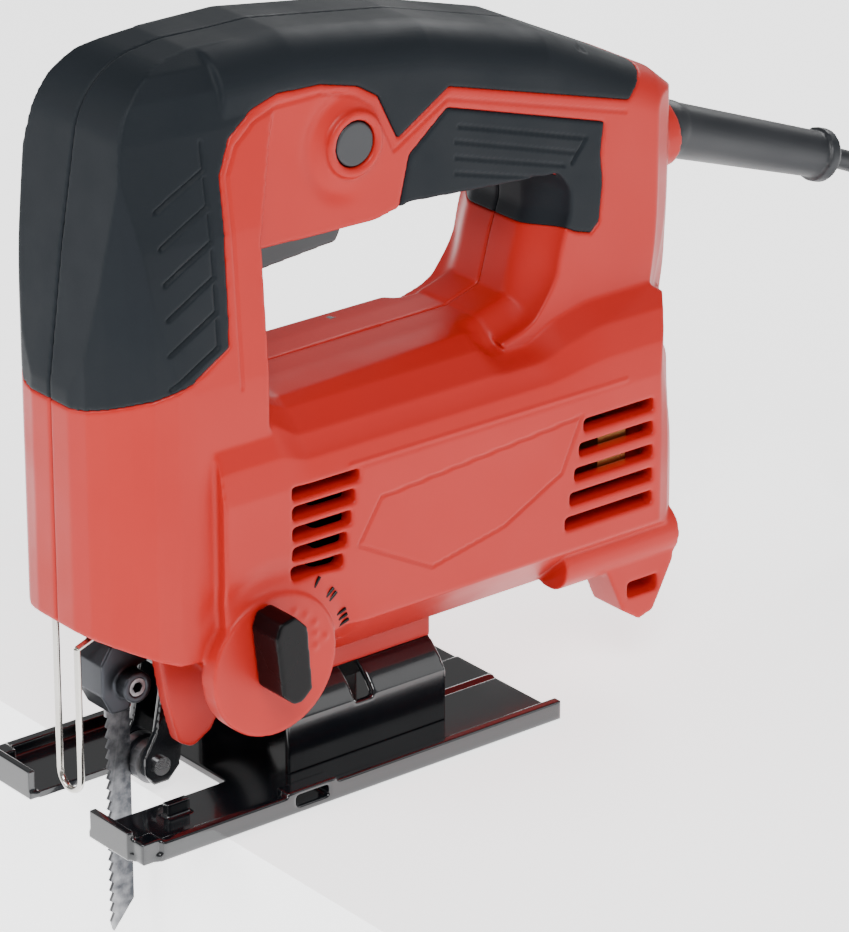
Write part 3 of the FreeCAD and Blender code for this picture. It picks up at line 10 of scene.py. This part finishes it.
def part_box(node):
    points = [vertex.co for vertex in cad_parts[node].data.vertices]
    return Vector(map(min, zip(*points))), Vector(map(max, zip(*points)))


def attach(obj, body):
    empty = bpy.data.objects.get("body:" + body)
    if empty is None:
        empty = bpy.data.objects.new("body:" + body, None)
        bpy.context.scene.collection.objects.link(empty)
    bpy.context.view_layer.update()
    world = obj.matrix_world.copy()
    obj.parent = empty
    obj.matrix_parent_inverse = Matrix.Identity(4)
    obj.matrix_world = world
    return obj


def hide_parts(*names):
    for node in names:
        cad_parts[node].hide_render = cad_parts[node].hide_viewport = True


# Looks of a corded orbital jigsaw with a D-handle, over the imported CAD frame.
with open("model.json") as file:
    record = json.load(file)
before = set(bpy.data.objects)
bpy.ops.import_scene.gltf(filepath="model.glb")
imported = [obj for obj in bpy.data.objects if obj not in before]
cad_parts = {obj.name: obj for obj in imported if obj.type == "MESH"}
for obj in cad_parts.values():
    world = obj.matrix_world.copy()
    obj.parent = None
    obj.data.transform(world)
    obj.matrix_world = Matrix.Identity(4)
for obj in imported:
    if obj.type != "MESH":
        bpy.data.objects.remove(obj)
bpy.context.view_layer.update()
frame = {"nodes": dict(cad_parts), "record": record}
nodes = frame["nodes"]
scene = bpy.context.scene
MM = 0.001


def mm(x, y, z):
    """A point given in millimetres, in metres."""
    return Vector((x * MM, y * MM, z * MM))


# ---- camera ----------------------------------------------------------------------
view_azimuth = math.radians(38.7)
view_elevation = math.radians(23.2)
aim = mm(44.67, 1.29, 67.52)
distance = 1.3679
back = Vector((-math.sin(view_azimuth) * math.cos(view_elevation),
               -math.cos(view_azimuth) * math.cos(view_elevation),
               math.sin(view_elevation)))
across = Vector((math.cos(view_azimuth), -math.sin(view_azimuth), 0))
upward = back.cross(across)
camera_data = bpy.data.cameras.new("camera")
camera_data.lens = 193.13
camera_data.sensor_width = 36
camera_data.clip_start, camera_data.clip_end = 0.05, 20
camera = bpy.data.objects.new("camera", camera_data)
scene.collection.objects.link(camera)
turn = Matrix((across, upward, back)).transposed().to_4x4()
camera.matrix_world = Matrix.Translation(aim + back * distance) @ turn
scene.camera = camera


# ---- materials -------------------------------------------------------------------
def material(name, color, rough, metallic=0.0, grain=0.0, grain_size=0.5, vary=0.12,
             tint=None, coat=0.0, sheen=0.0, stretch=None, worn=None, specular=0.5,
             smudge=22.0):
    """A surface with fine grain in its bump, drifting roughness and colour, and, where
    worn is a colour, rubbed edges. grain_size is in millimetres."""
    mat = bpy.data.materials.new(name)
    mat.use_nodes = True
    tree = mat.node_tree
    new, link = tree.nodes.new, tree.links.new
    shader = tree.nodes["Principled BSDF"]
    shader.inputs["Metallic"].default_value = metallic
    shader.inputs["Specular IOR Level"].default_value = specular
    shader.inputs["Coat Weight"].default_value = coat
    shader.inputs["Coat Roughness"].default_value = 0.08
    shader.inputs["Sheen Weight"].default_value = sheen
    shader.inputs["Sheen Roughness"].default_value = 0.4
    place = new("ShaderNodeTexCoord")
    mapping = new("ShaderNodeMapping")
    mapping.inputs["Scale"].default_value = stretch or (1, 1, 1)
    link(place.outputs["Object"], mapping.inputs["Vector"])

    def noise(size_mm, detail):
        node = new("ShaderNodeTexNoise")
        node.inputs["Scale"].default_value = 1000.0 / size_mm
        node.inputs["Detail"].default_value = detail
        link(mapping.outputs["Vector"], node.inputs["Vector"])
        return node

    smear = noise(smudge, 4)
    levels = new("ShaderNodeMapRange")
    levels.inputs["From Min"].default_value = 0.3
    levels.inputs["From Max"].default_value = 0.7
    levels.inputs["To Min"].default_value = max(0.02, rough - vary * 0.5)
    levels.inputs["To Max"].default_value = min(1.0, rough + vary * 0.5)
    link(smear.outputs["Fac"], levels.inputs["Value"])
    link(levels.outputs["Result"], shader.inputs["Roughness"])

    second = tint or [c * 0.86 for c in color]
    blend = new("ShaderNodeMix")
    blend.data_type = "RGBA"
    blend.inputs["A"].default_value = (*color, 1)
    blend.inputs["B"].default_value = (*second, 1)
    link(smear.outputs["Fac"], blend.inputs["Factor"])
    paint = blend.outputs["Result"]
    if worn:
        edge = new("ShaderNodeNewGeometry")
        scuff = noise(2.5, 5)
        rubbed = new("ShaderNodeMath")
        rubbed.operation = "MULTIPLY_ADD"
        rubbed.inputs[1].default_value = 0.10
        link(scuff.outputs["Fac"], rubbed.inputs[0])
        link(edge.outputs["Pointiness"], rubbed.inputs[2])
        limit = new("ShaderNodeMapRange")
        limit.inputs["From Min"].default_value = 0.60
        limit.inputs["From Max"].default_value = 0.68
        link(rubbed.outputs[0], limit.inputs["Value"])
        rub = new("ShaderNodeMix")
        rub.data_type = "RGBA"
        rub.inputs["B"].default_value = (*worn, 1)
        link(limit.outputs["Result"], rub.inputs["Factor"])
        link(paint, rub.inputs["A"])
        paint = rub.outputs["Result"]
    link(paint, shader.inputs["Base Color"])
    if grain:
        fine = noise(grain_size, 3)
        bump = new("ShaderNodeBump")
        bump.inputs["Strength"].default_value = grain
        bump.inputs["Distance"].default_value = 0.0001
        link(fine.outputs["Fac"], bump.inputs["Height"])
        link(bump.outputs["Normal"], shader.inputs["Normal"])
    return mat


FINISH = {
    "shell_red": material("shell_red", (0.46, 0.014, 0.009), 0.42, grain=0.20,
                          grain_size=0.5, tint=(0.42, 0.012, 0.008),
                          worn=(0.54, 0.035, 0.024), specular=0.28),
    "soft_grip": material("soft_grip", (0.0038, 0.0066, 0.0100), 0.58, grain=0.35,
                          grain_size=0.35, sheen=0.02, tint=(0.0065, 0.0098, 0.0135),
                          specular=0.2, vary=0.2),
    "black_plastic": material("black_plastic", (0.0015, 0.0013, 0.0018), 0.3, grain=0.08,
                              grain_size=0.5, specular=0.15),
    "grey_plastic": material("grey_plastic", (0.018, 0.020, 0.024), 0.40, grain=0.16,
                             grain_size=0.35),
    "steel": material("steel", (0.56, 0.56, 0.57), 0.28, 1.0, grain=0.22,
                      grain_size=0.4, stretch=(0.15, 1, 1), tint=(0.45, 0.45, 0.46)),
    "dark_steel": material("dark_steel", (0.055, 0.058, 0.066), 0.36, 0.9, grain=0.25,
                           grain_size=0.3, tint=(0.035, 0.037, 0.043),
                           worn=(0.3, 0.3, 0.31)),
    "black_paint": material("black_paint", (0.0045, 0.0055, 0.0075), 0.14, grain=0.05,
                            grain_size=1.6, coat=0.6, vary=0.08,
                            worn=(0.03, 0.034, 0.04), specular=0.6),
    "alloy": material("alloy", (0.58, 0.58, 0.58), 0.45, 0.9, grain=0.3,
                      grain_size=0.5, tint=(0.46, 0.46, 0.46)),
    "copper": material("copper", (0.58, 0.21, 0.08), 0.32, 1.0, grain=0.6,
                       grain_size=0.7, stretch=(0.2, 1, 1), tint=(0.42, 0.13, 0.05)),
    "brass": material("brass", (0.66, 0.48, 0.17), 0.3, 1.0, grain=0.15,
                      grain_size=0.5, tint=(0.5, 0.36, 0.12)),
    "carbon": material("carbon", (0.018, 0.018, 0.018), 0.55, grain=0.3,
                       grain_size=0.2),
    "rubber_black": material("rubber_black", (0.008, 0.010, 0.013), 0.46, grain=0.16,
                             grain_size=0.4, tint=(0.012, 0.014, 0.018)),
    "nickel": material("nickel", (0.66, 0.64, 0.60), 0.17, 1.0, grain=0.05,
                       grain_size=0.4, tint=(0.52, 0.50, 0.46)),
    "felt": material("felt", (0.26, 0.25, 0.22), 0.95, grain=0.9, grain_size=0.25,
                     tint=(0.16, 0.15, 0.13)),
    "wire_sheath": material("wire_sheath", (0.03, 0.05, 0.22), 0.4, grain=0.08),
}
for part in frame["record"]["subparts"]:
    obj = nodes[part["node"]]
    obj.data.materials.clear()
    obj.data.materials.append(FINISH[part["material_slot"]])


def own(name, data, body, slot_name, *stands_for):
    """A new piece from mesh or curve data, on its body, in its finish."""
    obj = bpy.data.objects.new(name, data)
    scene.collection.objects.link(obj)
    data.materials.append(FINISH[slot_name])
    if stands_for:
        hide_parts(*stands_for)
    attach(obj, body)
    return obj


# ---- cord ------------------------------------------------------------------------
# down to the bench in a loose bend, then round a put-away coil to the plug that lies on it
cord_radius = 3.0
lead_route = [(190.27, 0, 125.30), (209.2, 0, 118.6), (222.0, 0, 103.3),
              (225.8, 0, 81.6), (218.4, 0, 58.8), (214.6, 0, 36.0),
              (221.8, 0, 17.4), (237.0, 0, 6.2), (256.0, 0, 3.0)]
coil_low, coil_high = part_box("cord_coil")
coil_centre = (coil_low + coil_high) / 2 / MM
plug_low, plug_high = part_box("plug")
plug_end = Vector((plug_low.x, (plug_low.y + plug_high.y) / 2,
                   (plug_low.z + plug_high.z) / 2)) / MM
# (radius, height) of each turn, from the outermost on the bench to the one under the plug
layers = [(39, 3.05), (33, 3.05), (27, 3.05), (27, 9.0), (33, 9.0), (39, 9.0),
          (39, 14.95), (27, 14.95), (33, 14.95), (33, 18)]
turns = 8.83
steps = 14
change_from = 0.72
coil_start = math.radians(82)
coil_points = []
for number in range(int(turns * steps)):
    turn_number, part_way = number // steps, number % steps / steps
    (radius, height), after = layers[turn_number], layers[turn_number + 1]
    ease = max(0.0, (part_way - change_from) / 0.28)
    radius += (after[0] - radius) * ease
    height += (after[1] - height) * ease
    angle = coil_start - 2 * math.pi * part_way
    coil_points.append((coil_centre.x + radius * math.cos(angle),
                        coil_centre.y + radius * math.sin(angle), height))
coil_points += [(plug_end.x - 9, plug_end.y - 4.5, plug_end.z - 2), tuple(plug_end)]
line = bpy.data.curves.new("cord_line", "CURVE")
line.dimensions = "3D"
line.bevel_depth = 1.0
line.bevel_resolution = 5
line.resolution_u = 8
spline = line.splines.new("NURBS")
cord_points = lead_route + coil_points
spline.points.add(len(cord_points) - 1)
for point, place in zip(spline.points, cord_points):
    point.co = (*mm(*place), 1)
    point.radius = cord_radius * MM
spline.order_u = 3
spline.use_endpoint_u = True
lead = own("lead", line, "housing", "rubber_black", "cord", "cord_coil")
line.use_fill_caps = True


# ---- moulded and pressed skins ---------------------------------------------------
def path_distance(flat, path):
    """Distance of each (x, z) from a run of straight lines."""
    best = np.full(len(flat), 1e9)
    for a, b in zip(path, path[1:]):
        a, b = np.array(a, float), np.array(b, float)
        run = b - a
        along = np.clip(((flat - a) @ run) / (run @ run), 0, 1)
        best = np.minimum(best, np.linalg.norm(flat - (a + along[:, None] * run), axis=1))
    return best


def smooth_step(x):
    """0 up to x = 0, 1 from x = 1, and an S-shaped rise in between."""
    x = np.clip(x, 0, 1)
    return x * x * (3 - 2 * x)


def between(x, low, high):
    """0 below low, 1 above high, and a soft rise in between."""
    return smooth_step((x - low) / (high - low))


def scored(path, width, depth, floor):
    """A groove in both side faces, where they lie further out than floor, along a path
    in XZ. A negative depth raises a ridge."""
    def act(co):
        near = path_distance(co[:, [0, 2]], path)
        push = depth * smooth_step(1.4 * (1 - near / (width / 2)))
        for side in (-1, 1):
            out = co[:, 1] * side > floor
            co[out, 1] -= side * push[out]
    return act


def sunk_ring(centre, radius, width, depth, floor, lean=None):
    """A soft trough round a point of the left side face, raised if depth is negative;
    lean, in degrees, keeps it on that side of the point."""
    def act(co):
        flat = co[:, [0, 2]] - np.array(centre)
        away = np.linalg.norm(flat, axis=1)
        push = depth * np.exp(-((away - radius) / width) ** 2)
        if lean is not None:
            facing = np.cos(np.arctan2(flat[:, 1], flat[:, 0]) - math.radians(lean))
            push *= smooth_step(0.5 + 0.9 * facing)
        out = -co[:, 1] > floor
        co[out, 1] += push[out]
    return act


def with_block(data, corners, faces):
    """Add a closed block to mesh data, for the grid to melt into its neighbour."""
    mesh = bmesh.new()
    mesh.from_mesh(data)
    verts = [mesh.verts.new(corner) for corner in corners]
    for face in faces:
        mesh.faces.new([verts[i] for i in face])
    mesh.to_mesh(data)
    mesh.free()


def crest_block(side):
    """The full wall of the grip's crest over the rear end of the switch's bay."""
    crest_x, crest_z, fall = 71, 191.4, 0.475
    front_end, rear_end = 78, 88.5
    # distance from the middle plane, and height over the line of the crest
    profile = [(0.1, -6), (0.1, -0.6), (10, -0.6), (14, -1.3), (18, -3.0), (18, -6)]
    count = len(profile)
    corners = [mm(x, side * y, crest_z - fall * (x - crest_x) + dz)
               for x in (front_end, rear_end) for y, dz in profile]
    faces = [tuple(range(count)), tuple(range(2 * count - 1, count - 1, -1))]
    faces += [(i, (i + 1) % count, count + (i + 1) % count, count + i)
              for i in range(count)]
    return corners, faces


def skin(name, node, slot_name, body, voxel, soften, carve=(), block=None):
    """A copy of a CAD node with its edges eased as a mould or a press leaves them, and
    shallow detail worked into it. voxel is the pitch of the mesh's grid."""
    raw = bpy.data.objects.new(name + "_raw", nodes[node].data.copy())
    if block:
        with_block(raw.data, *block)
    scene.collection.objects.link(raw)
    weld = raw.modifiers.new("weld", "WELD")
    weld.merge_threshold = 0.01 * MM
    shell = raw.modifiers.new("shell", "REMESH")
    shell.mode = "VOXEL"
    shell.voxel_size = voxel * MM
    ease = raw.modifiers.new("ease", "SMOOTH")
    ease.factor = 0.5
    ease.iterations = soften
    bpy.context.view_layer.update()
    depsgraph = bpy.context.evaluated_depsgraph_get()
    data = bpy.data.meshes.new_from_object(raw.evaluated_get(depsgraph))
    bpy.data.objects.remove(raw)
    data.name = name
    co = np.empty(len(data.vertices) * 3)
    data.vertices.foreach_get("co", co)
    co = co.reshape(-1, 3) / MM
    for work in carve:
        work(co)
    data.vertices.foreach_set("co", (co * MM).ravel())
    data.polygons.foreach_set("use_smooth", [True] * len(data.polygons))
    data.materials.clear()
    return own(name, data, body, slot_name, node)


def lowered_floor(co):
    """The floor of the hand opening sinks a little and falls away to its shoulders."""
    x, y, z = co.T
    floor_drop, shoulder_drop, foot_drop = 2.5, 2.5, 4.0
    zone = between(x, -31, -20) * (1 - between(x, 58, 84)) * between(z, 88, 104)
    zone *= 1 - between(z, 122, 134)
    side = between(np.abs(y), 8, 30)
    edge = 1 - between(np.abs(y), 29, 34)
    co[:, 2] -= zone * (floor_drop + shoulder_drop * side * edge)
    foot = between(x, 42, 50) * (1 - between(x, 58, 70)) * between(np.abs(y), 11, 20)
    co[:, 2] -= foot_drop * foot * between(z, 102, 112) * (1 - between(z, 119, 134))


def slim_post(co):
    """The rear post narrows to its waist and its front corners are drawn back."""
    x, y, z = co.T
    waist_depth, corner_depth = 7, 7
    waist_height, waist_spread = 101, 20
    side = between(np.abs(y), 5, 22)
    waist = np.exp(-((z - waist_height) / waist_spread) ** 2) * between(x, 96, 118)
    co[:, 0] -= waist_depth * side * waist
    front = between(z, 106, 126) * (1 - between(z, 146, 158))
    corner = between(np.abs(y), 9, 23) * front
    co[:, 0] += corner_depth * corner * (between(x, 40, 60) - between(x, 66, 96))


def rounded_head(co):
    """The top of the gear column closes in toward the front in plan."""
    x, _, z = co.T
    closing = 0.16
    rise = between(z, 140, 200)
    near = 1 - between(x, -72, -38)
    co[:, 1] *= 1 - closing * rise * near


button = (2, 177)
dial_centre = (-34, 44)
panel_line = [(-40, 122), (-40, 178), (-36.5, 185), (-30, 190), (-22, 192.5), (-8, 192.6),
              (3, 189.5), (8.8, 185.5), (15.5, 172), (33.5, 182.4), (95, 165.4)]
label_line = [(-5.6, 70), (2, 82), (71, 87), (64, 72), (44, 62), (19, 57), (-5.6, 70)]
housing_work = [
    lowered_floor, slim_post, rounded_head,
    sunk_ring(button, 13.5, 2.6, 0.8, 16, lean=170),
    sunk_ring(button, 8.0, 1.6, -0.35, 16),
    scored(panel_line, 1.0, 0.45, 15),
    scored(label_line, 1.0, 0.45, 25),
    scored([(-8, 93.5), (87, 93.5)], 1.6, -0.25, 25),
    sunk_ring(dial_centre, 25.5, 3.0, 1.0, 26, lean=35),
]
# raised dots on the dial: one, two and three of them, by the marks I, II and III
dot_ring = 15
for angle, dots in ((66, [(0, 0)]), (42, [(-1.5, 1.5), (1.5, -1.5)]),
                    (14, [(-1.6, -1.8), (-1.6, 1.8), (1.6, 0)])):
    for dx, dz in dots:
        spot = (dial_centre[0] + dot_ring * math.cos(math.radians(angle)) + dx,
                dial_centre[1] + dot_ring * math.sin(math.radians(angle)) + dz)
        housing_work.append(sunk_ring(spot, 0, 1.1, -0.5, 30))

column_work = [rounded_head, slim_post]
groove_top, groove_pitch = 188, 9.2
for i in range(6):
    top = groove_top - groove_pitch * i
    column_work.append(scored([(-46.5, top), (-46.5, top - 7), (-61.5, top - 15)], 1.3,
                              0.85, 15))
inlay_work = [slim_post, scored([(37, 174), (81, 161), (76, 155)], 1.2, 0.6, 9)]
for i in range(3):
    inlay_work.append(scored([(36, 170 - 4.4 * i), (77 - 3.5 * i, 157.8 - 2.9 * i)], 1.1,
                             0.5, 9))

half_voxel = 0.55
for side in ("left", "right"):
    skin("shell_" + side, "housing_" + side, "shell_red", "housing", half_voxel, 4,
         housing_work)
    skin("soft_grip_" + side, "grip_" + side, "soft_grip", "housing", half_voxel, 3,
         column_work, crest_block(-1 if side == "left" else 1))
    skin("soft_inlay_" + side, "inlay_" + side, "soft_grip", "housing", half_voxel, 3,
         inlay_work)
skin("knob", "orbit_lever", "black_plastic", "orbit_control", 0.45, 8)
skin("paddle", "trigger", "grey_plastic", "trigger_paddle", 0.45, 5)
skin("button", "lock_button", "grey_plastic", "lock_on", 0.35, 6)
skin("sole_plate", "shoe", "black_paint", "base", 0.5, 4)
skin("tilt_bracket", "bevel_bracket", "black_paint", "base", 0.5, 4)
skin("fork", "roller_holder", "black_paint", "roller_fork", 0.4, 3)
skin("clamp", "blade_clamp", "dark_steel", "slider", 0.35, 3)
skin("relief", "cord_guard", "rubber_black", "housing", 0.5, 3)
skin("plug_body", "plug", "rubber_black", "housing", 0.6, 8)


def bar_mesh(name, bars, low_y, high_y):
    """Raised marks: each bar is (x, z, angle, length, width), its top edges bevelled."""
    verts, faces = [], []
    for x, z, angle, length, width in bars:
        along = Vector((math.cos(angle), 0, math.sin(angle)))
        beside = Vector((-math.sin(angle), 0, math.cos(angle)))
        start = len(verts)
        for y, shrink in ((low_y, 0), (high_y + 0.15, 0), (high_y, 0.12)):
            for u, v in ((-1, -1), (1, -1), (1, 1), (-1, 1)):
                spot = (Vector((x, y, z)) + along * u * (length / 2 - shrink)
                        + beside * v * (width / 2 - shrink))
                verts.append(spot * MM)
        for level in (0, 4):
            for i in range(4):
                j = (i + 1) % 4
                faces.append((start + level + i, start + level + j,
                              start + level + 4 + j, start + level + 4 + i))
        faces.append(tuple(start + 8 + i for i in range(4)))
        faces.append(tuple(start + 3 - i for i in range(4)))
    data = bpy.data.meshes.new(name)
    data.from_pydata(verts, [], faces)
    return data


# the marks I, II and III: raised bars whose black is painted shade, standing for the shadow
# that darkens the embossed red numerals
mark_ring, mark_pitch = 23.8, 1.7
mark_length, mark_width = 4.2, 0.75
marks = []
for count, angle in ((1, 52), (2, 36), (3, 16)):
    radial = math.radians(angle)
    for i in range(count):
        shift = (i - (count - 1) / 2) * mark_pitch
        mark_x = mark_ring * math.cos(radial) - shift * math.sin(radial)
        mark_z = mark_ring * math.sin(radial) + shift * math.cos(radial)
        marks.append((dial_centre[0] + mark_x, dial_centre[1] + mark_z, radial,
                      mark_length, mark_width))
own("dial_marks", bar_mesh("dial_marks", marks, -31.5, -33.6), "housing", "black_plastic")


# ---- floor and light -------------------------------------------------------------
def mesh_object(name, verts, faces, finish):
    """A plain mesh of the setting, which rides on no body."""
    data = bpy.data.meshes.new(name)
    data.from_pydata([tuple(v) for v in verts], [], faces)
    obj = bpy.data.objects.new(name, data)
    scene.collection.objects.link(obj)
    data.materials.append(finish)
    return obj


bench_white = material("bench_white", (0.88, 0.88, 0.88), 0.7, grain=0.05, grain_size=3,
                       tint=(0.86, 0.86, 0.87), smudge=400)
glow = bench_white.node_tree.nodes["Principled BSDF"]
glow.inputs["Emission Color"].default_value = (1, 1, 1, 1)
glow.inputs["Emission Strength"].default_value = 1.7
# the shoe rests on a bench, and its front stands over the edge to leave the blade free
front_edge, bench_back, bench_half = -52, 1500, 900
ground_z, ground_half = -300, 3000
bench = mesh_object("bench", [mm(front_edge, -bench_half, 0), mm(bench_back, -bench_half, 0),
                              mm(bench_back, bench_half, 0), mm(front_edge, bench_half, 0),
                              mm(front_edge, -bench_half, ground_z),
                              mm(front_edge, bench_half, ground_z)],
                    [(0, 1, 2, 3), (0, 3, 5, 4)], bench_white)
ground = mesh_object("ground", [mm(-ground_half, -ground_half, ground_z),
                                mm(ground_half, -ground_half, ground_z),
                                mm(ground_half, ground_half, ground_z),
                                mm(-ground_half, ground_half, ground_z)],
                     [(0, 1, 2, 3)], bench_white)

world = bpy.data.worlds.new("studio")
scene.world = world
world.use_nodes = True
world.node_tree.nodes["Background"].inputs["Color"].default_value = (1.0, 1.0, 1.0, 1)
world.node_tree.nodes["Background"].inputs["Strength"].default_value = 0.30


def softbox(name, place, power, width, height):
    """A rectangular studio lamp aimed at the tool. Metres and watts."""
    lamp = bpy.data.lights.new(name, "AREA")
    lamp.shape = "RECTANGLE"
    lamp.energy = power
    lamp.size, lamp.size_y = width, height
    obj = bpy.data.objects.new(name, lamp)
    obj.location = place
    obj.rotation_mode = "QUATERNION"
    toward = Vector((0.02, 0, 0.09)) - Vector(place)
    obj.rotation_quaternion = toward.to_track_quat("-Z", "Y")
    scene.collection.objects.link(obj)


softbox("key_light", (-0.5, -0.9, 1.1), 18, 0.6, 0.6)
softbox("fill_light", (-1.0, 0.35, 0.7), 8, 0.6, 0.8)
softbox("rear_light", (0.9, 0.5, 0.8), 7, 0.6, 0.5)
softbox("side_light", (0.9, -0.9, 0.5), 2, 0.5, 0.9)
